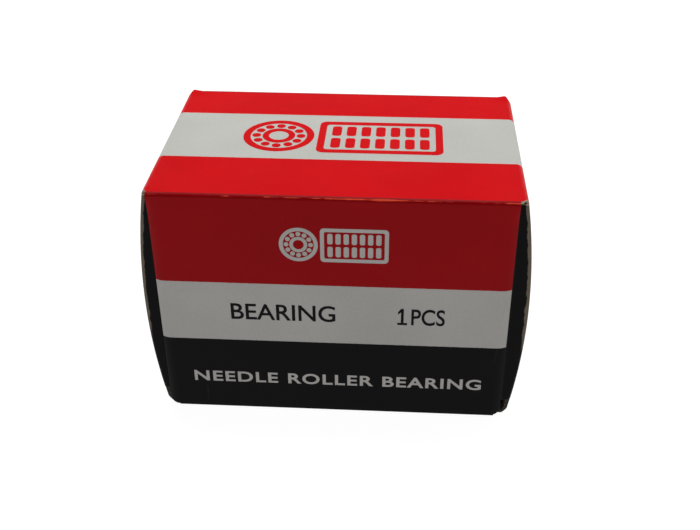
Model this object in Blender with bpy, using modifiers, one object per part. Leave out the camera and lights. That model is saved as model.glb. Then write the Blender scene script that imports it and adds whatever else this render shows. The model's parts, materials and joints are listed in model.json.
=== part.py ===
"""A needle roller bearing lying in its printed folding carton.

The carton is a straight-tuck box: one folded sleeve, and at each end a lid with a tuck flap and two dust flaps.
The bearing inside is a drawn-cup shell that holds two cages, each with one row of needles.

Metres, +Z up. X runs along the bearing's axis, -Y is the front, and the origin is under the middle of the carton.
"""

import math

import bmesh
import bpy
from mathutils import Matrix

# Carton
CARTON_WIDTH = 0.060  # between the long folds
CARTON_DEPTH = 0.0415  # over both lids
CARTON_HEIGHT = 0.0435
BOARD = 0.0005
FOLD_RADIUS = 0.0012
SIDE_BULGE = 0.0018  # how far each side panel bows out at mid height
GAP = 0.0003  # left between pieces that touch
FOLD_STEPS = 4
BULGE_STEPS = 12

# Lids and flaps
LID_WIDTH = 0.0578
LID_SHIFT = -0.0003  # the front lid sits a little to the left, and the back lid to the right
LID_FOOT = 0.0014  # height of the lid's lower edge
LID_HEAD_GAP = 0.00035  # from the lid's upper edge to its crease
LID_CORNER = 0.0010
TUCK_WIDTH = 0.056
TUCK_DEPTH = 0.009
TUCK_RISE = math.radians(10)
TUCK_CREASE_HEIGHT = 0.00105
TUCK_SHOULDER = 0.004  # how much of the tuck flap's free corners is rounded off
DUST_LENGTH = 0.017
DUST_AXIS = 0.029  # distance of each dust flap's crease from the middle
DUST_ROOT = 0.0002  # how far the flap reaches behind its crease, before the side panel's bow
DUST_FOOT = 0.0032
DUST_HEAD_GAP = 0.0008
SIDE_SETBACK = 0.0010  # how far the side panels stop short of the top and bottom panels

# Bearing
BORE = 0.030  # under the needles
OUTER_DIAMETER = 0.037
BEARING_LENGTH = 0.045
NEEDLE_DIAMETER = 0.0025
NEEDLE_LENGTH = 0.0165
NEEDLE_CHAMFER = 0.00035
NEEDLES_PER_ROW = 24
RUNNING_CLEARANCE = 0.00005
LIP_THICKNESS = 0.0009
LIP_RADIUS = 0.0157
SHELL_ROUND = 0.0012
CAGE_THICKNESS = 0.0015
CAGE_LENGTH = 0.0210
CAGE_FROM_MIDDLE = 0.0003
POCKET_CLEARANCE = 0.00015
SHELL_STEPS = 64
CAGE_STEPS = 48
NEEDLE_STEPS = 10

# Places worked out from the sizes above
HALF_WIDTH = CARTON_WIDTH / 2
HALF_DEPTH = CARTON_DEPTH / 2
LID_PLANE = HALF_DEPTH - BOARD / 2  # middle of the lid's board
LID_CREASE_HEIGHT = CARTON_HEIGHT - BOARD / 2
DUST_PLANE = HALF_DEPTH - BOARD - GAP - BOARD / 2
PANEL_END = HALF_DEPTH - BOARD - GAP / 2
SHELL_RADIUS = OUTER_DIAMETER / 2
PITCH_RADIUS = (BORE + NEEDLE_DIAMETER) / 2
RACEWAY_RADIUS = PITCH_RADIUS + NEEDLE_DIAMETER / 2 + RUNNING_CLEARANCE
BEARING_Y = DUST_PLANE - BOARD / 2 - GAP - SHELL_RADIUS  # lies against the back dust flaps
BEARING_Z = BOARD + GAP + SHELL_RADIUS
CAGE_MIDDLE = CAGE_FROM_MIDDLE + CAGE_LENGTH / 2

ENDS = {"front": -1, "back": 1}
SIDES = {"left": -1, "right": 1}
UPRIGHT = Matrix.Rotation(math.pi / 2, 4, "X")  # turns a flat outline's own Y up
ALONG_X = Matrix.Rotation(math.pi / 2, 4, "Y")  # lays a turned shape's own Z along X


def clear_scene():
    for obj in list(bpy.data.objects):
        bpy.data.objects.remove(obj)


def new_collection(name):
    collection = bpy.data.collections.new(name)
    bpy.context.scene.collection.children.link(collection)
    return collection


def material(name, colour, roughness, metallic=0.0):
    made = bpy.data.materials.new(name)
    made.use_nodes = True
    shader = made.node_tree.nodes["Principled BSDF"]
    shader.inputs["Base Color"].default_value = (*colour, 1.0)
    shader.inputs["Roughness"].default_value = roughness
    shader.inputs["Metallic"].default_value = metallic
    return made


def place(obj, collection, finish, parent, matrix):
    """Puts an object in the scene, with its place given in its parent's space."""
    collection.objects.link(obj)
    if finish:
        obj.data.materials.append(finish)
    obj.parent = parent
    obj.matrix_local = matrix
    return obj


def empty(name, collection, parent, matrix):
    """A frame that a moving piece hangs on, with its origin on the joint's axis."""
    return place(bpy.data.objects.new(name, None), collection, None, parent, matrix)


def arc(centre, radius, start, end, steps):
    """Points along an arc, from one angle to the other, both included."""
    angles = [math.radians(start + (end - start) * i / steps) for i in range(steps + 1)]
    return [(centre[0] + radius * math.cos(a), centre[1] + radius * math.sin(a)) for a in angles]


def flat_curve(name, outline):
    """A flat piece of board: its outline, filled and thickened."""
    curve = bpy.data.curves.new(name, "CURVE")
    curve.dimensions = "2D"
    curve.fill_mode = "BOTH"
    curve.extrude = BOARD / 2
    spline = curve.splines.new("POLY")
    spline.points.add(len(outline) - 1)
    for point, (x, y) in zip(spline.points, outline):
        point.co = (x, y, 0, 1)
    spline.use_cyclic_u = True
    return bpy.data.objects.new(name, curve)


def turned(name, profile, steps, closed):
    """A turned piece about its own Z. The profile is (radius, height), and runs down its outer side."""
    shape = bmesh.new()
    points = [shape.verts.new((radius, 0, height)) for radius, height in profile]
    for first, second in zip(points, points[1:]):
        shape.edges.new((first, second))
    if closed:
        shape.edges.new((points[-1], points[0]))
    mesh = bpy.data.meshes.new(name)
    shape.to_mesh(mesh)
    shape.free()
    obj = bpy.data.objects.new(name, mesh)
    screw = obj.modifiers.new("turn", "SCREW")
    screw.axis = "Z"
    screw.steps = steps
    screw.render_steps = steps
    screw.use_merge_vertices = True
    screw.merge_threshold = 0.00001
    screw.use_smooth_shade = True
    return obj


def side_bow(height):
    """How far the side panel stands out at this height."""
    middle = CARTON_HEIGHT / 2
    reach = middle - FOLD_RADIUS
    return SIDE_BULGE * max(0.0, 1 - ((height - middle) / reach) ** 2)


def sleeve_section():
    """Outer outline of the sleeve, (x, z), once round from the foot of the right side."""
    corner_x = HALF_WIDTH - FOLD_RADIUS
    low, high = FOLD_RADIUS, CARTON_HEIGHT - FOLD_RADIUS
    heights = [low + (high - low) * i / BULGE_STEPS for i in range(1, BULGE_STEPS)]
    right = [(HALF_WIDTH + side_bow(z), z) for z in heights]
    half = arc((corner_x, low), FOLD_RADIUS, -90, 0, FOLD_STEPS) + right
    half += arc((corner_x, high), FOLD_RADIUS, 0, 90, FOLD_STEPS)
    return half + [(-x, z) for x, z in reversed(half)]


def make_sleeve(collection, finish):
    """Top, bottom and side panels, which one piece of board makes by four long folds."""
    shape = bmesh.new()
    ring = [shape.verts.new((x, -PANEL_END, z)) for x, z in sleeve_section()]
    edges = [shape.edges.new((a, b)) for a, b in zip(ring, ring[1:] + ring[:1])]
    grown = bmesh.ops.extrude_edge_only(shape, edges=edges)["geom"]
    far = [v for v in grown if isinstance(v, bmesh.types.BMVert)]
    bmesh.ops.translate(shape, verts=far, vec=(0, 2 * PANEL_END, 0))
    for vert in shape.verts:
        if abs(vert.co.x) > HALF_WIDTH - FOLD_RADIUS / 4:
            vert.co.y -= math.copysign(SIDE_SETBACK, vert.co.y)
    bmesh.ops.recalc_face_normals(shape, faces=shape.faces)
    mesh = bpy.data.meshes.new("carton_sleeve")
    shape.to_mesh(mesh)
    shape.free()
    sleeve = bpy.data.objects.new("carton_sleeve", mesh)
    solidify = sleeve.modifiers.new("board", "SOLIDIFY")
    solidify.thickness = BOARD
    solidify.offset = -1
    solidify.use_even_offset = True
    return place(sleeve, collection, finish, None, Matrix())


def lid_outline():
    """The lid hangs below its crease, with its two free corners rounded."""
    half = LID_WIDTH / 2
    head = -LID_HEAD_GAP
    foot = LID_FOOT - LID_CREASE_HEIGHT
    right = arc((half - LID_CORNER, foot + LID_CORNER), LID_CORNER, -90, 0, FOLD_STEPS) + [(half, head)]
    return right + [(-x, y) for x, y in reversed(right)]


def tuck_outline():
    """The tuck flap reaches away from its crease and narrows to its free edge."""
    half = TUCK_WIDTH / 2
    root = BOARD
    shoulder = arc((half - TUCK_SHOULDER, TUCK_DEPTH - TUCK_SHOULDER), TUCK_SHOULDER, 0, 90, 2 * FOLD_STEPS)
    right = [(half, root)] + shoulder
    return right + [(-x, y) for x, y in reversed(right)]


def dust_outline(toward):
    """Half a shelf behind the lid. Its head is cut at 45 degrees, so the lid opens past it."""
    tip = DUST_LENGTH * toward
    head = LID_CREASE_HEIGHT - DUST_HEAD_GAP
    heights = [head + (DUST_FOOT - head) * i / BULGE_STEPS for i in range(BULGE_STEPS + 1)]
    root = [(-toward * (DUST_ROOT + side_bow(z)), z) for z in heights]
    return [(tip, DUST_FOOT), (tip, head - DUST_LENGTH)] + root


def make_end(end, way, collection, finish):
    """One end of the carton: its lid, the lid's tuck flap and the two dust flaps behind it."""
    crease = Matrix.Translation((-LID_SHIFT * way, LID_PLANE * way, LID_CREASE_HEIGHT))
    lid_axis = empty(f"{end}_lid_axis", collection, None, crease)
    place(flat_curve(f"{end}_lid", lid_outline()), collection, finish, lid_axis, UPRIGHT)

    tuck_axis = empty(
        f"{end}_tuck_axis",
        collection,
        lid_axis,
        Matrix.Translation((0, 0, TUCK_CREASE_HEIGHT - LID_CREASE_HEIGHT)),
    )
    facing = Matrix.Rotation(0 if way < 0 else math.pi, 4, "Z")
    tilt = facing @ Matrix.Rotation(TUCK_RISE, 4, "X")
    place(flat_curve(f"{end}_tuck_flap", tuck_outline()), collection, finish, tuck_axis, tilt)

    for side, hand in SIDES.items():
        hinge = Matrix.Translation((DUST_AXIS * hand, DUST_PLANE * way, 0))
        axis = empty(f"{end}_dust_axis_{side}", collection, None, hinge)
        flap = flat_curve(f"{end}_dust_flap_{side}", dust_outline(-hand))
        place(flap, collection, finish, axis, UPRIGHT)


def shell_profile():
    """The drawn cup's section: a thin wall with a lip turned in at both ends."""
    half = BEARING_LENGTH / 2
    inner = half - LIP_THICKNESS
    bend = arc((SHELL_RADIUS - SHELL_ROUND, half - SHELL_ROUND), SHELL_ROUND, 90, 0, FOLD_STEPS)
    outer = bend + [(r, -z) for r, z in reversed(bend)]
    bore = [(LIP_RADIUS, -half), (LIP_RADIUS, -inner), (RACEWAY_RADIUS, -inner)]
    return outer + bore + [(r, -z) for r, z in reversed(bore)]


def cage_profile():
    """The cage's section, a plain ring centred on the needles' pitch circle."""
    half = CAGE_LENGTH / 2
    inner = PITCH_RADIUS - CAGE_THICKNESS / 2
    outer = PITCH_RADIUS + CAGE_THICKNESS / 2
    return [(outer, half), (outer, -half), (inner, -half), (inner, half)]


def needle_profile():
    half = NEEDLE_LENGTH / 2
    radius = NEEDLE_DIAMETER / 2
    top = [(0, half), (radius - NEEDLE_CHAMFER, half), (radius, half - NEEDLE_CHAMFER)]
    return top + [(r, -z) for r, z in reversed(top)]


def needle_angles():
    return [2 * math.pi * (i + 0.5) / NEEDLES_PER_ROW for i in range(NEEDLES_PER_ROW)]


def pocket_cutter(name, collection, parent, matrix):
    """One box for each needle, set round the pitch circle and longer than the cage is thick."""
    shape = bmesh.new()
    width = NEEDLE_DIAMETER + 2 * POCKET_CLEARANCE
    length = NEEDLE_LENGTH + 2 * POCKET_CLEARANCE
    for angle in needle_angles():
        box = bmesh.ops.create_cube(shape, size=1)["verts"]
        bmesh.ops.scale(shape, verts=box, vec=(2 * CAGE_THICKNESS, width, length))
        bmesh.ops.translate(shape, verts=box, vec=(PITCH_RADIUS, 0, 0))
        bmesh.ops.rotate(shape, verts=box, matrix=Matrix.Rotation(angle, 3, "Z"))
    mesh = bpy.data.meshes.new(name)
    shape.to_mesh(mesh)
    shape.free()
    cutter = place(bpy.data.objects.new(name, mesh), collection, None, parent, matrix)
    cutter.hide_render = True
    cutter.display_type = "WIRE"
    return cutter


def make_row(side, hand, bearing_axis, collection, cutters, cage_finish, needle_finish):
    """One cage with its needles. The cage turns about the bearing, and each needle about itself."""
    spin = empty(
        f"cage_{side}_axis", collection, bearing_axis, Matrix.Translation((CAGE_MIDDLE * hand, 0, 0))
    )
    cage = turned(f"cage_{side}", cage_profile(), CAGE_STEPS, closed=True)
    place(cage, collection, cage_finish, spin, ALONG_X)
    pockets = cage.modifiers.new("pockets", "BOOLEAN")
    pockets.operation = "DIFFERENCE"
    pockets.solver = "EXACT"
    pockets.object = pocket_cutter(f"cage_{side}_pockets", cutters, spin, ALONG_X)
    for number, angle in enumerate(needle_angles(), start=1):
        needle = turned(f"needle_{side}_{number:02d}", needle_profile(), NEEDLE_STEPS, closed=False)
        round_pitch = ALONG_X @ Matrix.Rotation(angle, 4, "Z") @ Matrix.Translation((PITCH_RADIUS, 0, 0))
        place(needle, collection, needle_finish, spin, round_pitch)


def make_bearing(collection, cutters):
    shell_finish = material("shell_steel", (0.55, 0.56, 0.58), 0.28, 1.0)
    cage_finish = material("cage_steel", (0.42, 0.42, 0.43), 0.42, 1.0)
    needle_finish = material("needle_steel", (0.72, 0.73, 0.75), 0.16, 1.0)
    middle = Matrix.Translation((0, BEARING_Y, BEARING_Z))
    bearing_axis = empty("bearing_axis", collection, None, middle)
    shell = turned("outer_shell", shell_profile(), SHELL_STEPS, closed=True)
    place(shell, collection, shell_finish, bearing_axis, ALONG_X)
    for side, hand in SIDES.items():
        make_row(side, hand, bearing_axis, collection, cutters, cage_finish, needle_finish)


def main():
    clear_scene()
    collection = new_collection("boxed_needle_bearing")
    cutters = new_collection("cutters")
    red_board = material("printed_board_red", (0.45, 0.003, 0.006), 0.38)
    inner_board = material("flap_board_black", (0.012, 0.010, 0.011), 0.45)
    make_sleeve(collection, red_board)
    for end, way in ENDS.items():
        make_end(end, way, collection, red_board if way < 0 else inner_board)
    make_bearing(collection, cutters)


main()
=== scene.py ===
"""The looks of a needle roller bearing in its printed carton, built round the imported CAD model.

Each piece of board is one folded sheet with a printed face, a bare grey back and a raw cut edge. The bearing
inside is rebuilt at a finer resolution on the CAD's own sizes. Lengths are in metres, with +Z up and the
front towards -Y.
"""

import json
import math

import bmesh
import bpy
from mathutils import Matrix, Vector


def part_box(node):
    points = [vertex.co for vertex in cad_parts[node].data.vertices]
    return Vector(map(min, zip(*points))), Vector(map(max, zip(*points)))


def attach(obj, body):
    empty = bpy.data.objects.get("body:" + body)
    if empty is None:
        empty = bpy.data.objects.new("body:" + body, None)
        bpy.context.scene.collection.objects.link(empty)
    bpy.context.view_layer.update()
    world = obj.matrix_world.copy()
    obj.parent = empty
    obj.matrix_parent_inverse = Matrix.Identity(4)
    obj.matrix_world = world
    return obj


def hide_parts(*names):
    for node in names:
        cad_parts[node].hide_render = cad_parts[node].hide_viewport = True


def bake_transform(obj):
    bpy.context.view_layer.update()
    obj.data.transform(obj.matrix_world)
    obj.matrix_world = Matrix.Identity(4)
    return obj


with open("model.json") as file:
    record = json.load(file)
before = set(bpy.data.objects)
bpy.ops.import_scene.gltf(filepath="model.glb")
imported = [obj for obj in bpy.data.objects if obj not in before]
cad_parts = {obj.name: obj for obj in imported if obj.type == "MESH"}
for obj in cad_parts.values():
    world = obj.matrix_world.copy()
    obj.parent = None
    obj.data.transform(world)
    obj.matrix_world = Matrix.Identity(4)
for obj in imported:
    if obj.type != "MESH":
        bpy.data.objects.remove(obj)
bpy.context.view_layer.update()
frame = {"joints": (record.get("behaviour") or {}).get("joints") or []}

MM = 0.001

# Sizes read from the frame
SLEEVE_LOW, SLEEVE_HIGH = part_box("carton_sleeve")
LID_LOW, LID_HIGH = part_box("front_lid")
SHELL_LOW, SHELL_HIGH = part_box("outer_shell")
CAGE_LOW, CAGE_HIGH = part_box("cage_right")
NEEDLE_LOW, NEEDLE_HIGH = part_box("needle_right_01")
JOINTS = {joint["name"]: joint for joint in frame["joints"]}
HEIGHT = SLEEVE_HIGH.z
PANEL_END = SLEEVE_HIGH.y
HALF_DEPTH = -LID_LOW.y
BOARD = LID_HIGH.y - LID_LOW.y
BEARING_MIDDLE = (SHELL_LOW + SHELL_HIGH) / 2
SHELL_RADIUS = (SHELL_HIGH.z - SHELL_LOW.z) / 2
SHELL_LENGTH = SHELL_HIGH.x - SHELL_LOW.x

# The board and its folds
CAD_HALF_WIDTH = 30 * MM
HALF_WIDTH = CAD_HALF_WIDTH + 0.6 * MM
SIDE_BULGE = SLEEVE_HIGH.x - CAD_HALF_WIDTH
FOLD_RADIUS = 1.2 * MM
SIDE_END = PANEL_END - 1.2 * MM
BOTTOM_END = PANEL_END - 0.8 * MM
EDGE_BEVEL = 0.05 * MM
EDGE_ANGLE = math.radians(50)
EAR_INSET = 0.9 * MM
EAR_LIFT = 0.35 * MM
LID_FOLD = HALF_DEPTH - PANEL_END
LID_LEFT = LID_LOW.x - 0.40 * MM
LID_RIGHT = LID_HIGH.x + 0.5 * MM
LID_FOOT = LID_LOW.z - 0.75 * MM
LID_ROLL = 0.45 * MM
LID_ROLL_WIDTH = 1.6 * MM
LID_CORNER = 1.3 * MM
TUCK_FOLD = 0.35 * MM
TUCK_REACH = 8.1 * MM
TUCK_HALF_WIDTH = 28 * MM
TUCK_CORNER = 4 * MM
TUCK_RISE = math.radians(11)
DUST_AXIS = abs(JOINTS["front_dust_hinge_right"]["pos_m"][0])
DUST_FACE = HALF_DEPTH - BOARD - 0.3 * MM
DUST_TIP = 12 * MM
DUST_FOOT = 3.2 * MM
DUST_HEAD = HEIGHT - 1.05 * MM
DUST_CORNER = 2 * MM
DUST_FOLD = 0.5 * MM
DUST_WEB = 0.42 * MM
DUST_JOG = 0.72 * MM
GLUE_FOOT = 1.6 * MM
GLUE_HEAD = 12.5 * MM
GLUE_INSET = 1.0 * MM
GLUE_SLANT = 0.9 * MM
GLUE_GAP = 0.06 * MM

# The print, as heights on the lids and as distances from the middle on the top panel
TOP_WHITE_BACK = 10.1 * MM
TOP_WHITE_FRONT = -7.5 * MM
LID_WHITE_TOP = 27.1 * MM
LID_WHITE_FOOT = 15.4 * MM
INK_THICKNESS = 0.02 * MM
BAND_BLUR = 0.02 * MM
TOP_SIGN_PLACE = (0.2 * MM, 1.3 * MM)
TOP_SIGN_HEIGHT = 12.4 * MM
LID_SIGN_PLACE = (0.1 * MM, 34.9 * MM)
LID_SIGN_HEIGHT = 6.3 * MM
# Each line of words: its middle on the lid, its width and height, its weight and its spacing
KIND_LINE = ((-8.6 * MM, 21.4 * MM), (17.6 * MM, 3.3 * MM), 0.012, 1.0)
UNIT_LINE = ((15.7 * MM, 21.3 * MM), (5.6 * MM, 3.3 * MM), 0.012, 1.0)
TITLE_LINE = ((0.3 * MM, 7.3 * MM), (50.2 * MM, 2.3 * MM), 0.022, 1.12)
COUNT_PLACE = (11.4 * MM, 21.3 * MM)
COUNT_HEIGHT = 3.3 * MM

# The bearing
PITCH_RADIUS = 16.25 * MM
NEEDLE_RADIUS = 1.25 * MM
RACEWAY_RADIUS = 17.55 * MM
LIP_RADIUS = 15.7 * MM
LIP_THICKNESS = 0.9 * MM
LIP_EASE = 0.25 * MM
SHELL_ROUND = 1.2 * MM
SHELL_STEPS = 144
NEEDLES_PER_ROW = 24
NEEDLE_EASE = 0.45 * MM
NEEDLE_FLAT = 0.4 * MM
NEEDLE_STEPS = 28
POCKET_HALF_WIDTH = 1.4 * MM
POCKET_HALF_LENGTH = 8.4 * MM
CAGE_SHEET = 0.8 * MM
CAGE_BEVEL = 0.07 * MM
CAGE_WAVE = 0.5 * MM

# The camera
CAMERA_AZIMUTH = math.radians(-3.529)
CAMERA_ELEVATION = math.radians(32.805)
CAMERA_ROLL = math.radians(-0.187)
CAMERA_DISTANCE = 159.56 * MM
CAMERA_TARGET = Vector((2.69 * MM, -HALF_DEPTH, 31.31 * MM))
CAMERA_LENS = 50.76
CAMERA_SENSOR = 36

# The studio: the floor's and the sky's glow, and the share of the sky's height over which it fades
FLOOR_GLOW = 0.97
FLOOR_HALF_SIZE = 6.0
SKY_GLOW = 0.07
SKY_FADE = (0.08, 0.34)
LAMP_PLACE = (0.02, 0.24, 0.70)
LAMP_TARGET = (0, 0.02, 0.02)
LAMP_SIZE = (0.6, 0.34)
LAMP_POWER = 6.35

# Colours. The shaded inks are the lids', which are darker than the top panel's: they are the same inks with
# painted shade
RED = (0.59, 0.0006, 0.0035)
SHADED_RED = (0.26, 0.0005, 0.0027)
WHITE = (0.50, 0.50, 0.465)
SHADED_WHITE = (0.38, 0.366, 0.350)
BLACK = (0.0030, 0.0022, 0.0030)
# Creases wear to a lighter, more orange red: this is wear together with a painted highlight along the folds
WORN_RED_AND_HIGHLIGHT = (0.78, 0.075, 0.03)
BARE_BOARD = (0.36, 0.33, 0.285)
CORE = (0.15, 0.12, 0.09)
PALE_CORE = (0.50, 0.42, 0.33)
PALE_CORE_FROM = 40 * MM
# Painted shade: the cut edges turn near black close to the floor
SHADED_CORE = (0.02, 0.016, 0.013)


# ---------------------------------------------------------------- materials


class Finish:
    """A Principled material, with short ways to add nodes to it."""

    def __init__(self, name, **sockets):
        self.material = bpy.data.materials.new(name)
        self.material.use_nodes = True
        self.tree = self.material.node_tree
        self.shader = self.tree.nodes["Principled BSDF"]
        for socket, value in sockets.items():
            self.shader.inputs[socket.replace("_", " ")].default_value = value

    def node(self, kind, inputs, output=0, **settings):
        """Adds a node and returns one of its outputs. Each input is a number, a colour or another output."""
        made = self.tree.nodes.new("ShaderNode" + kind)
        for setting, value in settings.items():
            setattr(made, setting, value)
        for socket, value in inputs.items():
            self.put(made.inputs[socket], value)
        return made.outputs[output]

    def put(self, socket, value):
        if isinstance(value, bpy.types.NodeSocket):
            self.tree.links.new(value, socket)
        elif socket.type == "RGBA":
            socket.default_value = (*value, 1.0)
        else:
            socket.default_value = value

    def to_shader(self, socket, value):
        self.put(self.shader.inputs[socket], value)

    def rest(self):
        """Each point's place in the object at rest, so that a pattern stays on a piece that bends."""
        return self.node("Attribute", {}, output="Vector", attribute_name="rest")

    def noise(self, vector, scale, detail=4.0, roughness=0.55):
        sockets = {"Vector": vector, "Scale": scale, "Detail": detail, "Roughness": roughness}
        return self.node("TexNoise", sockets, output="Fac")

    def spread(self, value, low, high, to_low=0.0, to_high=1.0, smooth=False):
        """Maps low..high on to to_low..to_high."""
        sockets = {"Value": value, "From Min": low, "From Max": high, "To Min": to_low, "To Max": to_high}
        interpolation = "SMOOTHSTEP" if smooth else "LINEAR"
        return self.node("MapRange", sockets, interpolation_type=interpolation)

    def math(self, operation, first, second):
        return self.node("Math", {0: first, 1: second}, operation=operation)

    def mix(self, share, first, second, blend="MIX"):
        """Mixes two colours."""
        made = self.tree.nodes.new("ShaderNodeMix")
        made.data_type = "RGBA"
        made.blend_type = blend
        for index, value in ((0, share), (6, first), (7, second)):
            self.put(made.inputs[index], value)
        return made.outputs[2]

    def bump(self, height, distance, strength=1.0, normal=None):
        sockets = {"Height": height, "Distance": distance, "Strength": strength}
        if normal is not None:
            sockets["Normal"] = normal
        return self.node("Bump", sockets, output="Normal")


def stretched(finish, vector, scale):
    """The vector, scaled differently along each axis."""
    return finish.node("VectorMath", {0: vector, 1: scale}, operation="MULTIPLY")


def coated_board(name, colour_of, worn_to, scuff=0.02, gloss=0.05):
    """Coated, printed board. colour_of(finish, rest) gives the ink. Creases wear down to worn_to, which on
    the red print is partly a painted highlight along the folds.
    """
    finish = Finish(name, Specular_IOR_Level=gloss)
    rest = finish.rest()
    ink = colour_of(finish, rest)
    cloud = finish.noise(rest, 55.0, 3.0)
    ink = finish.mix(finish.spread(cloud, 0.3, 0.7, 0.0, 0.10), ink, (0.0, 0.0, 0.0))
    speck = finish.noise(rest, 2600.0, 2.0, 0.7)
    ink = finish.mix(finish.spread(speck, 0.35, 0.65, 0.0, 0.6), ink, (0.88, 0.88, 0.88), "MULTIPLY")
    wear = finish.node("Attribute", {}, output="Fac", attribute_name="wear")
    ragged = finish.noise(rest, 420.0, 5.0, 0.65)
    threshold = finish.math("SUBTRACT", 1.0, wear)
    worn = finish.spread(finish.math("SUBTRACT", ragged, threshold), -0.04, 0.10, 0.0, 1.0, smooth=True)
    ink = finish.mix(finish.math("MULTIPLY", worn, 0.85), ink, worn_to)
    scratch = finish.noise(stretched(finish, rest, (900.0, 60.0, 90.0)), 1.0, 2.0, 0.5)
    scratched = finish.spread(scratch, 0.73, 0.79, 0.0, scuff)
    ink = finish.mix(scratched, ink, (0.75, 0.73, 0.7))
    finish.to_shader("Base Color", ink)
    smear = finish.noise(rest, 130.0, 4.0, 0.6)
    rough = finish.spread(smear, 0.3, 0.7, 0.34, 0.48)
    finish.to_shader("Roughness", finish.mix(worn, rough, (0.85, 0.85, 0.85)))
    fibre = finish.noise(rest, 1900.0, 3.0, 0.6)
    wave = finish.noise(rest, 110.0, 2.0, 0.5)
    normal = finish.bump(wave, 0.12 * MM, 0.5)
    normal = finish.bump(fibre, 0.008 * MM, 0.6, normal)
    normal = finish.bump(worn, 0.03 * MM, 0.7, normal)
    finish.to_shader("Normal", normal)
    return finish.material


def banded(coordinate, first, bands):
    """A colour rule: first, and then a new colour from each value of the coordinate on."""

    def rule(finish, rest):
        along = finish.node("SeparateXYZ", {"Vector": rest}, output=coordinate)
        edge = finish.noise(rest, 1500.0, 2.0)
        along = finish.math("ADD", along, finish.spread(edge, 0.3, 0.7, -BAND_BLUR, BAND_BLUR))
        ink = finish.mix(0.0, first, first)
        for start, colour in bands:
            share = finish.spread(along, start - BAND_BLUR, start + BAND_BLUR)
            ink = finish.mix(share, ink, colour)
        return ink

    return rule


def plain(colour):
    """A colour rule: one colour all over."""
    return lambda finish, rest: finish.mix(0.0, colour, colour)


def bare_board(name, colour, layered=False):
    """Uncoated grey board: long fibres, flecks and a matt surface. A cut edge shows its layers, with painted
    shade near the floor.
    """
    finish = Finish(name, Specular_IOR_Level=0.2)
    rest = finish.rest()
    fibres = finish.noise(stretched(finish, rest, (700.0, 2600.0, 2600.0)), 1.0, 5.0, 0.65)
    dark = tuple(0.72 * c for c in colour)
    tone = finish.mix(finish.spread(fibres, 0.3, 0.7), dark, colour)
    cloud = finish.noise(rest, 90.0, 3.0)
    pale = tuple(1.25 * c for c in colour)
    tone = finish.mix(finish.spread(cloud, 0.3, 0.7, 0.0, 0.22), tone, pale)
    fleck = finish.noise(rest, 3200.0, 1.0, 0.4)
    tone = finish.mix(finish.spread(fleck, 0.70, 0.74, 0.0, 0.6), tone, (0.12, 0.09, 0.06))
    if layered:
        height = finish.node("SeparateXYZ", {"Vector": rest}, output=2)
        fresh = finish.spread(height, PALE_CORE_FROM, PALE_CORE_FROM + 2 * MM)
        tone = finish.mix(fresh, tone, PALE_CORE)
        # Painted shade: the cut edges darken towards black over their lowest few millimetres
        shaded_foot = finish.spread(height, 2 * MM, 6 * MM, 1.0, 0.0)
        tone = finish.mix(shaded_foot, tone, SHADED_CORE)
        layers = finish.noise(stretched(finish, rest, (300.0, 9000.0, 9000.0)), 1.0, 2.0, 0.5)
        tone = finish.mix(finish.spread(layers, 0.35, 0.65, 0.0, 0.35), tone, (0.08, 0.06, 0.045))
    finish.to_shader("Base Color", tone)
    finish.to_shader("Roughness", finish.spread(fibres, 0.3, 0.7, 0.82, 0.94))
    finish.to_shader("Normal", finish.bump(fibres, 0.02 * MM, 0.8))
    return finish.material


def ink(name, colour):
    """Ink on coated board: the board's own clouds and fibres show through it."""
    finish = Finish(name, Specular_IOR_Level=0.05)
    rest = finish.rest()
    speck = finish.noise(rest, 2600.0, 2.0, 0.7)
    tone = finish.mix(finish.spread(speck, 0.35, 0.65, 0.0, 0.10), colour, tuple(0.6 * c for c in colour))
    cloud = finish.noise(rest, 160.0, 3.0)
    tone = finish.mix(finish.spread(cloud, 0.3, 0.7, 0.0, 0.08), tone, (0.02, 0.02, 0.02))
    finish.to_shader("Base Color", tone)
    smear = finish.noise(rest, 130.0, 4.0, 0.6)
    finish.to_shader("Roughness", finish.spread(smear, 0.3, 0.7, 0.34, 0.48))
    finish.to_shader("Normal", finish.bump(finish.noise(rest, 1900.0, 3.0, 0.6), 0.008 * MM, 0.6))
    return finish.material


def steel(name, colour, rough, brushed, oil, tint):
    """Bearing steel. brushed scales the grain along each axis, and oil is how far a thin film shows."""
    finish = Finish(name, Metallic=1.0, Coat_Weight=oil, Coat_Roughness=0.08)
    rest = finish.rest()
    grain = finish.noise(stretched(finish, rest, brushed), 1.0, 4.0, 0.6)
    cloud = finish.noise(rest, 120.0, 4.0, 0.6)
    tone = finish.mix(finish.spread(grain, 0.3, 0.7), tuple(0.86 * c for c in colour), colour)
    tone = finish.mix(finish.spread(cloud, 0.42, 0.72, 0.0, 0.35), tone, tint)
    finish.to_shader("Base Color", tone)
    ground = finish.spread(grain, 0.3, 0.7, rough, rough + 0.08)
    finish.to_shader("Roughness", finish.math("ADD", ground, finish.spread(cloud, 0.3, 0.7, 0.0, 0.08)))
    finish.to_shader("Normal", finish.bump(grain, 0.002 * MM, 0.5))
    return finish.material


# ---------------------------------------------------------------- making meshes


def arc(centre, radius, start, end, steps):
    """Points along an arc, from one angle to the other, both included."""
    angles = [math.radians(start + (end - start) * i / steps) for i in range(steps + 1)]
    return [(centre[0] + radius * math.cos(a), centre[1] + radius * math.sin(a)) for a in angles]


def line(start, end, steps):
    """Points from start to end along a straight line, without start."""
    return [tuple(a + (b - a) * i / steps for a, b in zip(start, end)) for i in range(1, steps + 1)]


def crowded(low, high, steps):
    """Values from low to high, closer together near both ends."""
    return [(low + high) / 2 - (high - low) / 2 * math.cos(math.pi * i / steps) for i in range(steps + 1)]


def smooth_step(value):
    value = min(1.0, max(0.0, value))
    return value * value * (3 - 2 * value)


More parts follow.
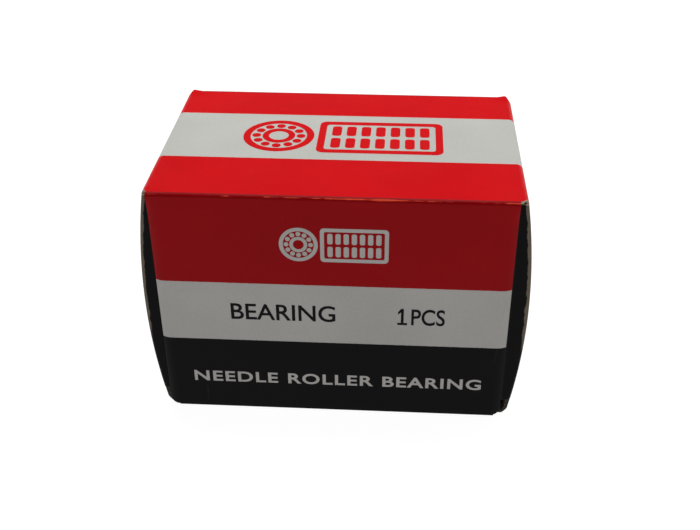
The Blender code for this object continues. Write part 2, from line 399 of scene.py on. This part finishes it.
def rounded_off(distance, radius):
    """How far a rounded corner draws an edge in, at this distance before the corner."""
    if distance >= radius:
        return 0.0
    return radius - math.sqrt(max(0.0, radius**2 - (radius - max(0.0, distance)) ** 2))


def object_from(shape, name):
    mesh = bpy.data.meshes.new(name)
    shape.to_mesh(mesh)
    shape.free()
    obj = bpy.data.objects.new(name, mesh)
    bpy.context.scene.collection.objects.link(obj)
    return obj


def grid(rows, closed_rows=False, closed_across=False):
    """A bmesh of quads through rows of points."""
    shape = bmesh.new()
    points = [[shape.verts.new(p) for p in row] for row in rows]
    row_pairs = list(zip(points, points[1:] + (points[:1] if closed_across else [])))
    for low, high in row_pairs[: len(rows) if closed_across else len(rows) - 1]:
        count = len(low)
        for i in range(count if closed_rows else count - 1):
            j = (i + 1) % count
            shape.faces.new((low[i], low[j], high[j], high[i]))
    return shape


def face_outwards(shape, outward):
    """Turns the faces the way that outward(centre) says, judged on all of them together."""
    shape.normal_update()
    agreed = sum(face.normal.dot(outward(face.calc_center_median())) for face in shape.faces)
    if agreed < 0:
        bmesh.ops.reverse_faces(shape, faces=shape.faces)


def soften(obj, width):
    """Rounds the sharp edges a little."""
    soft = obj.modifiers.new("soft_edges", "BEVEL")
    soft.width = width
    soft.segments = 2
    soft.limit_method = "ANGLE"
    soft.angle_limit = EDGE_ANGLE


def settle(obj, wear=None, sharp=35):
    """Applies the modifiers, smooths the shading and stores each point's place at rest and its wear.

    A piece that is made at the front and then turned round to the back keeps its front place. Both ends are
    printed alike for that reason.
    """
    graph = bpy.context.evaluated_depsgraph_get()
    mesh = bpy.data.meshes.new_from_object(obj.evaluated_get(graph))
    obj.modifiers.clear()
    old, obj.data = obj.data, mesh
    bpy.data.meshes.remove(old)
    mesh.name = obj.name
    mesh.shade_smooth()
    mesh.set_sharp_from_angle(angle=math.radians(sharp))
    rest = mesh.attributes.new("rest", "FLOAT_VECTOR", "POINT")
    rest.data.foreach_set("vector", [c for vertex in mesh.vertices for c in obj.matrix_world @ vertex.co])
    worn = mesh.attributes.new("wear", "FLOAT", "POINT")
    if wear:
        worn.data.foreach_set("value", [wear(vertex.co) for vertex in mesh.vertices])
    return obj


def board_sheet(name, shape, outward, faces, wear=None, pick=None):
    """Folded board: the grid is its printed face, thickened inwards. pick(centre) picks a face's print."""
    face_outwards(shape, outward)
    if pick:
        for face in shape.faces:
            face.material_index = pick(face.calc_center_median())
    obj = object_from(shape, name)
    for finish in (*faces, *[board_back] * len(faces), *[board_edge] * len(faces)):
        obj.data.materials.append(finish)
    thick = obj.modifiers.new("board", "SOLIDIFY")
    thick.thickness = BOARD
    thick.offset = -1
    thick.use_even_offset = True
    thick.material_offset = len(faces)
    thick.material_offset_rim = 2 * len(faces)
    soften(obj, EDGE_BEVEL)
    return settle(obj, wear)


# ---------------------------------------------------------------- the carton


def side_bow(height):
    """How far the side panel stands out at this height."""
    middle = HEIGHT / 2
    return SIDE_BULGE * max(0.0, 1 - ((height - middle) / (middle - FOLD_RADIUS)) ** 2)


def sleeve_outline():
    """Outer outline of the sleeve, (x, z), once round from the middle of the bottom."""
    inner = HALF_WIDTH - FOLD_RADIUS
    low, high = FOLD_RADIUS, HEIGHT - FOLD_RADIUS
    half = [(inner * i / 16, 0.0) for i in range(16)]
    half += arc((inner, low), FOLD_RADIUS, -90, 0, 8)
    half += [(HALF_WIDTH + side_bow(z), z) for z in crowded(low, high, 28)[1:-1]]
    half += arc((inner, high), FOLD_RADIUS, 0, 90, 8)
    half += [(inner * i / 16, HEIGHT) for i in range(15, -1, -1)]
    return half + [(-x, z) for x, z in reversed(half[1:-1])]


def sleeve_end(x, z):
    """How far the board reaches: the top panel furthest, the bottom one less, the sides least."""
    reach = PANEL_END if z > HEIGHT / 2 else BOTTOM_END
    inner = HALF_WIDTH - FOLD_RADIUS
    return reach - (reach - SIDE_END) * smooth_step((abs(x) - inner) / (0.8 * FOLD_RADIUS))


def back_ear(x, y, z):
    """The back corners of the top panel stand up a little, where the long folds end."""
    across = (abs(x) - (HALF_WIDTH - EAR_INSET)) / (0.8 * MM)
    along = (y - PANEL_END) / (1.1 * MM)
    return EAR_LIFT * math.exp(-(across**2) - along**2) if z > HEIGHT / 2 else 0.0


def sleeve_wear(co):
    """The long folds are scuffed a little, most of all at their ends."""
    if co.z < HEIGHT / 2 or abs(co.x) < HALF_WIDTH - 2 * FOLD_RADIUS:
        return 0.0
    fold = math.exp(-(((HALF_WIDTH - 0.35 * MM - abs(co.x)) / (0.35 * MM)) ** 2))
    near_end = smooth_step((abs(co.y) - (PANEL_END - 3 * MM)) / (3 * MM))
    return fold * (0.26 + 0.24 * near_end)


def make_sleeve():
    outline = sleeve_outline()
    rows = []
    for share in crowded(-1, 1, 36):
        row = []
        for x, z in outline:
            y = share * sleeve_end(x, z)
            row.append((x, y, z + back_ear(x, y, z)))
        rows.append(row)
    sleeve = board_sheet(
        "carton_sleeve_board",
        grid(rows, closed_rows=True),
        lambda centre: Vector((centre.x, 0, centre.z - HEIGHT / 2)),
        (top_print, side_print),
        sleeve_wear,
        lambda centre: 0 if centre.z > HEIGHT - 0.95 * FOLD_RADIUS else 1,
    )
    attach(sleeve, "carton")
    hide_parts("carton_sleeve")


def turn(way):
    """Turns what is made at the front round to the back."""
    return Matrix.Identity(4) if way < 0 else Matrix.Rotation(math.pi, 4, "Z")


def lid_fold_wear_and_highlight(co):
    """A worn line with a painted highlight runs along the lid's fold, and frays at both ends of it."""
    fold = Vector((0, -HALF_DEPTH + 0.19 * MM, HEIGHT - 0.19 * MM))
    across = (Vector((0, co.y, co.z)) - fold).length / (0.20 * MM)
    side = min(co.x - LID_LEFT, LID_RIGHT - co.x)
    frayed = 0.22 * smooth_step(1 - side / (2.2 * MM))
    rubbed = 0.30 * math.exp(-(((co.x - 5 * MM) / (14 * MM)) ** 2))
    return math.exp(-(across**2)) * (0.42 + rubbed + frayed)


def make_lid(end, way):
    """The lid with its fold, from the top panel's edge on."""
    path = arc((LID_FOLD - HALF_DEPTH, HEIGHT - LID_FOLD), LID_FOLD, 90, 180, 8)
    path += [(-HALF_DEPTH, z) for z in crowded(HEIGHT - LID_FOLD, LID_FOOT, 40)[1:]]
    rows = []
    for y, z in path:
        corner = rounded_off(z - LID_FOOT, LID_CORNER)
        low = smooth_step((HEIGHT - z - 0.5 * MM) / (3 * MM))
        row = []
        for x in crowded(LID_LEFT + corner, LID_RIGHT - corner, 48):
            edge = LID_ROLL_WIDTH - min(x - LID_LEFT, LID_RIGHT - x)
            roll = LID_ROLL * low * (max(0.0, edge) / LID_ROLL_WIDTH) ** 2
            row.append((x, y + roll, z))
        rows.append(row)
    outward = Vector((0, -1, 0.2))
    lid = board_sheet(f"{end}_lid_board", grid(rows), lambda centre: outward, (shaded_lid_print,), lid_fold_wear_and_highlight)
    lid.data.transform(turn(way))
    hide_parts(f"{end}_lid")
    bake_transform(lid)


def make_tuck_flap(end, way):
    """The tuck flap with its fold, from the lid's lower edge on."""
    path = arc((TUCK_FOLD - HALF_DEPTH, LID_FOOT), TUCK_FOLD, 180, 270 + math.degrees(TUCK_RISE), 8)
    y, z = path[-1]
    tip = (y + TUCK_REACH * math.cos(TUCK_RISE), z + TUCK_REACH * math.sin(TUCK_RISE))
    path += line((y, z), tip, 20)
    rows = []
    for y, z in path:
        half = TUCK_HALF_WIDTH - rounded_off(tip[0] - y, TUCK_CORNER)
        rows.append([(x, y, z) for x in crowded(-half, half, 40)])
    outward = Vector((0, -1, -1))
    flap = board_sheet(f"{end}_tuck_flap_board", grid(rows), lambda centre: outward, (black_print,))
    flap.data.transform(turn(way))
    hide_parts(f"{end}_tuck_flap")
    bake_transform(flap)


def dust_path(bow):
    """Plan of a right-hand dust flap's face, (x, y): round the side panel's end, then in behind the lid."""
    outer = HALF_WIDTH + bow
    path = arc((outer - DUST_FOLD, -SIDE_END), DUST_FOLD, 0, -90, 6)
    web_y = -SIDE_END - DUST_FOLD
    path += line(path[-1], (DUST_AXIS + DUST_WEB, web_y), 4)
    for share in (0.25, 0.5, 0.75, 1.0):
        x = DUST_AXIS + DUST_WEB - DUST_JOG * share
        path.append((x, web_y + (-DUST_FACE - web_y) * smooth_step(share)))
    return path + line(path[-1], (DUST_TIP, -DUST_FACE), 18)


def dust_head(x):
    """The flap's head is cut at 45 degrees, so that the lid can pass."""
    return DUST_HEAD - max(0.0, DUST_AXIS - x)


def dust_wear(co):
    """The fold at the side panel's end is rubbed along its crest."""
    crest = HALF_WIDTH + side_bow(co.z) - 0.32 * MM
    across = (abs(co.x) - crest) / (0.46 * MM)
    forward = (abs(co.y) - SIDE_END) / (0.5 * MM)
    upper = 0.25 + 0.55 * smooth_step((co.z - 8 * MM) / (16 * MM))
    return upper * math.exp(-(across**2)) * smooth_step(forward + 0.5)


def make_dust_flap(end, way, side, hand):
    """A dust flap: a web round the side panel's end, and the rest in behind the lid."""
    rows = []
    for share in crowded(0, 1, 34):
        bow = side_bow(DUST_FOOT + share * (DUST_HEAD - DUST_FOOT))
        row = []
        for x, y in dust_path(bow):
            foot = DUST_FOOT + rounded_off(x - DUST_TIP, DUST_CORNER)
            row.append((x, y, foot + share * (dust_head(x) - foot)))
        rows.append(row)
    mirror = Matrix.Scale(hand * -way, 4, Vector((1, 0, 0)))
    shape = grid(rows)
    bmesh.ops.transform(shape, matrix=turn(way) @ mirror, verts=shape.verts)
    name = f"{end}_dust_flap_{side}"
    outward = Vector((0, way, 0))
    flap = board_sheet(f"{name}_board", shape, lambda centre: outward, (black_print,), dust_wear)
    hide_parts(name)
    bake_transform(flap)


def make_glue_flap():
    """The seam that closes the sleeve: a strip of the board glued inside the right side panel."""
    inset = BOARD + GLUE_GAP
    path = [(HALF_WIDTH + side_bow(z) - inset, z) for z in crowded(GLUE_FOOT, GLUE_HEAD, 14)]
    reach = SIDE_END - GLUE_INSET
    rows = []
    for y in crowded(-reach, reach, 20):
        slant = GLUE_SLANT * (abs(y) / SIDE_END) ** 6
        rows.append([(x, y, z - slant * (z / GLUE_HEAD)) for x, z in path])
    strip = board_sheet("glue_flap", grid(rows), lambda centre: Vector((1, 0, 0)), (board_back,))
    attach(strip, "carton")


# ---------------------------------------------------------------- the print


def flat_shape(name, loops):
    """A thin flat mesh in its own XY from closed loops. A loop inside another cuts a hole."""
    curve = bpy.data.curves.new(name, "CURVE")
    curve.dimensions = "2D"
    curve.fill_mode = "BOTH"
    curve.extrude = INK_THICKNESS / 2
    for loop in loops:
        spline = curve.splines.new("POLY")
        spline.points.add(len(loop) - 1)
        for point, (x, y) in zip(spline.points, loop):
            point.co = (x, y, 0, 1)
        spline.use_cyclic_u = True
    return meshed(name, curve)


def meshed(name, curve):
    """The curve as a mesh object."""
    drawn = bpy.data.objects.new(name, curve)
    bpy.context.scene.collection.objects.link(drawn)
    graph = bpy.context.evaluated_depsgraph_get()
    mesh = bpy.data.meshes.new_from_object(drawn.evaluated_get(graph))
    bpy.data.objects.remove(drawn)
    bpy.data.curves.remove(curve)
    obj = bpy.data.objects.new(name, mesh)
    bpy.context.scene.collection.objects.link(obj)
    return obj


def words(name, text, width, height, weight, spacing):
    """Plain lettering, fitted to a width and a height."""
    curve = bpy.data.curves.new(name, "FONT")
    curve.body = text
    curve.align_x = "CENTER"
    curve.align_y = "CENTER"
    curve.resolution_u = 6
    curve.space_character = spacing
    curve.offset = weight
    obj = meshed(name, curve)
    low = Vector(map(min, zip(*[v.co for v in obj.data.vertices])))
    high = Vector(map(max, zip(*[v.co for v in obj.data.vertices])))
    middle = (low + high) / 2
    fit = Matrix.Diagonal((width / (high.x - low.x), height / (high.y - low.y), 1, 1))
    obj.data.transform(fit @ Matrix.Translation(-middle))
    thick = obj.modifiers.new("ink", "SOLIDIFY")
    thick.thickness = INK_THICKNESS
    thick.offset = 0
    return obj


def circle(x, y, radius, steps=40):
    return [(x + px, y + py) for px, py in arc((0, 0), radius, 0, 360, steps)[:-1]]


def rounded_box(x, y, width, height, radius, steps=5):
    """A rectangle with round corners."""
    corners = ((1, -1, -90), (1, 1, 0), (-1, 1, 90), (-1, -1, 180))
    loop = []
    for right, up, start in corners:
        centre = (x + right * (width / 2 - radius), y + up * (height / 2 - radius))
        loop += arc(centre, radius, start, start + 90, steps)
    return loop


def bearing_sign(size):
    """Loops of a generic sign: a needle bearing's end view beside its side view, size high."""
    unit = size / 12.6
    end_x = -11.4 * unit
    loops = [circle(end_x, 0, 6.3 * unit), circle(end_x, 0, 5.0 * unit)]
    loops += [circle(end_x, 0, 2.9 * unit), circle(end_x, 0, 1.75 * unit)]
    for x, y in arc((end_x, 0), 3.95 * unit, 0, 360, 12)[:-1]:
        loops.append(circle(x, y, 0.80 * unit, 16))
    side_x = 6.6 * unit
    loops.append(rounded_box(side_x, 0, 22 * unit, 12.6 * unit, 1.3 * unit))
    loops.append(rounded_box(side_x, 0, 19.4 * unit, 10.0 * unit, 0.6 * unit))
    for column in range(7):
        x = side_x + (column - 3) * 2.6 * unit
        for y in (-2.4 * unit, 2.4 * unit):
            loops.append(rounded_box(x, y, 1.7 * unit, 3.9 * unit, 0.6 * unit))
    return loops


def numeral_one(size):
    """Outline of a figure one with a flag and a foot, centred. size is its height."""
    stem, flag, foot, top = 0.07 * size, 0.22 * size, 0.25 * size, size / 2
    bar = 0.13 * size
    loop = [(-foot, -top), (foot, -top), (foot, bar - top), (stem, bar - top), (stem, top), (-stem, top)]
    loop += [(-flag, top - 1.6 * bar), (-flag, top - 2.8 * bar), (-stem, top - 1.7 * bar)]
    return loop + [(-stem, bar - top), (-foot, bar - top)]


def lay_print(obj, place, body, finish):
    """Puts flat print on a face of the carton, where it moves with that body."""
    obj.data.materials.clear()
    obj.data.materials.append(finish)
    obj.matrix_world = place
    bpy.context.view_layer.update()
    settle(obj, sharp=60)
    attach(obj, body)


def on_top(place):
    """A place on the top panel, with print reading from the front."""
    return Matrix.Translation((*place, HEIGHT + INK_THICKNESS / 2))


def on_lid(place, way):
    """A place on a lid, with print reading from outside it."""
    x, z = place
    spot = Matrix.Translation((x, -HALF_DEPTH - INK_THICKNESS / 2, z))
    return turn(way) @ spot @ Matrix.Rotation(math.pi / 2, 4, "X")


def lay_words(name, text, line_of, way, body, finish):
    """One line of lettering on a lid."""
    place, (width, height), weight, spacing = line_of
    lay_print(words(name, text, width, height, weight, spacing), on_lid(place, way), body, finish)


def make_print():
    red = ink("red_ink", RED)
    # The lids' white ink, darkened with painted shade
    white = ink("shaded_white_ink", SHADED_WHITE)
    black = ink("black_ink", BLACK)
    sign = flat_shape("top_bearing_sign", bearing_sign(TOP_SIGN_HEIGHT))
    lay_print(sign, on_top(TOP_SIGN_PLACE), "carton", red)
    for end, way in ENDS.items():
        lid = f"{end}_lid"
        sign = flat_shape(f"{end}_bearing_sign", bearing_sign(LID_SIGN_HEIGHT))
        lay_print(sign, on_lid(LID_SIGN_PLACE, way), lid, white)
        lay_words(f"{end}_label_kind", "BEARING", KIND_LINE, way, lid, black)
        one = flat_shape(f"{end}_label_one", [numeral_one(COUNT_HEIGHT)])
        lay_print(one, on_lid(COUNT_PLACE, way), lid, black)
        lay_words(f"{end}_label_unit", "PCS", UNIT_LINE, way, lid, black)
        lay_words(f"{end}_title", "NEEDLE ROLLER BEARING", TITLE_LINE, way, lid, white)


# ---------------------------------------------------------------- the bearing


def lathe(name, profile, steps, closed=True):
    """A solid turned about X from a (radius, x) profile. An open one starts and ends on the axis."""
    rows = []
    for i in range(steps):
        angle = 2 * math.pi * i / steps
        rows.append([(x, r * math.cos(angle), r * math.sin(angle)) for r, x in profile])
    shape = grid(rows, closed_rows=closed, closed_across=True)
    bmesh.ops.remove_doubles(shape, verts=shape.verts, dist=1e-7)
    bmesh.ops.recalc_face_normals(shape, faces=shape.faces)
    return object_from(shape, name)


def shell_profile():
    """The drawn cup's section, with rounded outer corners and eased lip edges."""
    half = SHELL_LENGTH / 2
    inner = half - LIP_THICKNESS
    bend = arc((SHELL_RADIUS - SHELL_ROUND, half - SHELL_ROUND), SHELL_ROUND, 0, 90, 10)
    lip = arc((LIP_RADIUS + LIP_EASE, half - LIP_EASE), LIP_EASE, 90, 180, 4)
    lip += arc((LIP_RADIUS + LIP_EASE, inner + LIP_EASE), LIP_EASE, 180, 270, 4)
    root = arc((RACEWAY_RADIUS - LIP_EASE, inner - LIP_EASE), LIP_EASE, 90, 0, 4)
    right = bend + lip + root
    walls = [(RACEWAY_RADIUS, x * inner) for x in (0.6, 0.2, -0.2, -0.6)]
    body = [(SHELL_RADIUS, x * half) for x in (-0.6, -0.2, 0.2, 0.6)]
    return right + walls + [(r, -x) for r, x in reversed(right)] + body


def make_shell(finish):
    shell = lathe("bearing_outer_shell", shell_profile(), SHELL_STEPS)
    shell.location = BEARING_MIDDLE
    bpy.context.view_layer.update()
    shell.data.materials.append(finish)
    settle(shell)
    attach(shell, "bearing_shell")
    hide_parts("outer_shell")


def cage_radius(x):
    """Middle of the cage's sheet: low at both end rings and at the bars' middle, high between."""
    share = abs(x) / POCKET_HALF_LENGTH
    wave = smooth_step((share - 0.25) / 0.15) * (1 - smooth_step((share - 0.72) / 0.15))
    return PITCH_RADIUS + CAGE_WAVE * (wave - 0.5)


def make_cage(side, hand, finish):
    """One pierced sheet ring: the quads over each needle are left out, and the rest is thickened."""
    half = (CAGE_HIGH.x - CAGE_LOW.x) / 2
    pitch = 2 * math.pi / NEEDLES_PER_ROW
    pocket = POCKET_HALF_WIDTH / PITCH_RADIUS
    across = [-pocket, -pocket / 3, pocket / 3]
    across += [pocket + (pitch - 2 * pocket) * i / 4 for i in range(4)]
    angles = [(number + 0.5) * pitch + a for number in range(NEEDLES_PER_ROW) for a in across]
    ring = [half - 0.0001 * MM, (half + POCKET_HALF_LENGTH) / 2]
    along = ring + [POCKET_HALF_LENGTH * (1 - i / 12) for i in range(25)]
    along += [-x for x in reversed(ring)]
    rows = []
    for x in along:
        radius = cage_radius(x)
        rows.append([(x, radius * math.cos(a), radius * math.sin(a)) for a in angles])
    shape = grid(rows, closed_rows=True)
    windows = []
    for face in shape.faces:
        centre = face.calc_center_median()
        turned_by = math.atan2(centre.z, centre.y) % pitch
        if abs(centre.x) < POCKET_HALF_LENGTH and abs(turned_by - pitch / 2) < pocket:
            windows.append(face)
    bmesh.ops.delete(shape, geom=windows, context="FACES")
    face_outwards(shape, lambda centre: Vector((0, centre.y, centre.z)))
    cage = object_from(shape, f"bearing_cage_{side}")
    cage.location = ((CAGE_LOW.x + CAGE_HIGH.x) / 2 * hand, BEARING_MIDDLE.y, BEARING_MIDDLE.z)
    thick = cage.modifiers.new("sheet", "SOLIDIFY")
    thick.thickness = CAGE_SHEET
    thick.offset = 0
    soften(cage, CAGE_BEVEL)
    cage.data.materials.append(finish)
    bpy.context.view_layer.update()
    settle(cage)
    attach(cage, f"cage_{side}")
    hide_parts(f"cage_{side}")


def needle_profile():
    """Half of a needle's section, from one end's middle to the other's, with rounded ends."""
    half = (NEEDLE_HIGH.x - NEEDLE_LOW.x) / 2
    end = [(0.0, half), (NEEDLE_FLAT, half)]
    end += arc((NEEDLE_RADIUS - NEEDLE_EASE, half - NEEDLE_EASE), NEEDLE_EASE, 90, 0, 6)
    return end + [(r, -x) for r, x in reversed(end)]


def make_needles(side, finish):
    for number in range(1, NEEDLES_PER_ROW + 1):
        node = f"needle_{side}_{number:02d}"
        low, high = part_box(node)
        needle = lathe(f"bearing_{node}", needle_profile(), NEEDLE_STEPS, closed=False)
        needle.location = (low + high) / 2
        needle.data.materials.append(finish)
        bpy.context.view_layer.update()
        settle(needle)
        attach(needle, node)
        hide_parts(node)


# ---------------------------------------------------------------- stage, light and camera


def make_floor():
    """A pale studio floor that fades into the white round it."""
    finish = Finish("studio_floor", Roughness=0.8, Specular_IOR_Level=0.0, Emission_Strength=FLOOR_GLOW)
    place = finish.node("TexCoord", {}, output="Object")
    cloud = finish.noise(place, 12.0, 3.0)
    tone = finish.mix(finish.spread(cloud, 0.3, 0.7), (0.16, 0.16, 0.16), (0.17, 0.17, 0.17))
    finish.to_shader("Base Color", tone)
    finish.to_shader("Emission Color", (1.0, 1.0, 1.0))
    shape = bmesh.new()
    bmesh.ops.create_grid(shape, x_segments=8, y_segments=8, size=FLOOR_HALF_SIZE)
    floor = object_from(shape, "studio_floor")
    floor.data.materials.append(finish.material)


def area_light(name, place, target, size, power):
    data = bpy.data.lights.new(name, "AREA")
    data.shape = "RECTANGLE"
    data.size, data.size_y = size
    data.energy = power
    lamp = bpy.data.objects.new(name, data)
    lamp.location = place
    lamp.rotation_euler = (Vector(target) - Vector(place)).to_track_quat("-Z", "Y").to_euler()
    bpy.context.scene.collection.objects.link(lamp)


def make_light():
    """A sky that is white at the horizon and dim above, and one soft lamp overhead and a little behind."""
    world = bpy.data.worlds.new("studio")
    world.use_nodes = True
    nodes, links = world.node_tree.nodes, world.node_tree.links
    ways = nodes.new("ShaderNodeSeparateXYZ")
    links.new(nodes.new("ShaderNodeTexCoord").outputs["Generated"], ways.inputs[0])
    fade = nodes.new("ShaderNodeMapRange")
    fade_low, fade_high = SKY_FADE
    settings = {"From Min": fade_low, "From Max": fade_high, "To Min": 1.0, "To Max": SKY_GLOW}
    for socket, value in settings.items():
        fade.inputs[socket].default_value = value
    links.new(ways.outputs["Z"], fade.inputs["Value"])
    links.new(fade.outputs["Result"], nodes["Background"].inputs["Strength"])
    nodes["Background"].inputs["Color"].default_value = (1.0, 1.0, 1.0, 1.0)
    bpy.context.scene.world = world
    area_light("overhead", LAMP_PLACE, LAMP_TARGET, LAMP_SIZE, LAMP_POWER)
    bpy.context.scene.view_settings.view_transform = "Standard"


def make_camera():
    data = bpy.data.cameras.new("photo_view")
    data.lens = CAMERA_LENS
    data.sensor_width = CAMERA_SENSOR
    data.clip_start = 0.01
    ahead = Vector((
        math.sin(CAMERA_AZIMUTH) * math.cos(CAMERA_ELEVATION),
        math.cos(CAMERA_AZIMUTH) * math.cos(CAMERA_ELEVATION),
        -math.sin(CAMERA_ELEVATION),
    ))
    level = ahead.cross(Vector((0, 0, 1))).normalized()
    upright = level.cross(ahead)
    right = math.cos(CAMERA_ROLL) * level + math.sin(CAMERA_ROLL) * upright
    turned_up = math.cos(CAMERA_ROLL) * upright - math.sin(CAMERA_ROLL) * level
    camera = bpy.data.objects.new("photo_view", data)
    axes = Matrix((right, turned_up, -ahead)).transposed().to_4x4()
    camera.matrix_world = Matrix.Translation(CAMERA_TARGET - CAMERA_DISTANCE * ahead) @ axes
    bpy.context.scene.collection.objects.link(camera)
    bpy.context.scene.camera = camera


# ---------------------------------------------------------------- putting it together

ENDS = {"front": -1, "back": 1}
SIDES = {"left": -1, "right": 1}

board_back = bare_board("bare_board_back", BARE_BOARD)
board_edge = bare_board("cut_board_edge", CORE, layered=True)
top_bands = [(TOP_WHITE_FRONT, WHITE), (TOP_WHITE_BACK, RED)]
top_print = coated_board("top_panel_print", banded("Y", RED, top_bands), WORN_RED_AND_HIGHLIGHT)
# The lids' bands use the shaded inks: the top panel's red and white with painted shade
shaded_lid_bands = [(LID_WHITE_FOOT, SHADED_WHITE), (LID_WHITE_TOP, SHADED_RED)]
shaded_lid_print = coated_board("shaded_lid_print", banded("Z", BLACK, shaded_lid_bands), WORN_RED_AND_HIGHLIGHT)
black_print = coated_board("black_print", plain(BLACK), CORE, scuff=0.01)
side_print = coated_board("side_print", plain(BLACK), CORE, scuff=0.012, gloss=0.22)

make_camera()
make_sleeve()
make_glue_flap()
for end, way in ENDS.items():
    make_lid(end, way)
    make_tuck_flap(end, way)
    for side, hand in SIDES.items():
        make_dust_flap(end, way, side, hand)
make_print()

shell_finish = steel(
    "shell_steel",
    colour=(0.50, 0.50, 0.51),
    rough=0.20,
    brushed=(90, 2600, 2600),
    oil=0.25,
    tint=(0.42, 0.40, 0.36),
)
cage_finish = steel(
    "cage_steel",
    colour=(0.36, 0.36, 0.365),
    rough=0.34,
    brushed=(1400, 700, 700),
    oil=0.10,
    tint=(0.26, 0.25, 0.23),
)
needle_finish = steel(
    "needle_steel",
    colour=(0.62, 0.62, 0.63),
    rough=0.10,
    brushed=(300, 3000, 3000),
    oil=0.20,
    tint=(0.52, 0.50, 0.46),
)
make_shell(shell_finish)
for side, hand in SIDES.items():
    make_cage(side, hand, cage_finish)
    make_needles(side, needle_finish)

make_floor()
make_light()
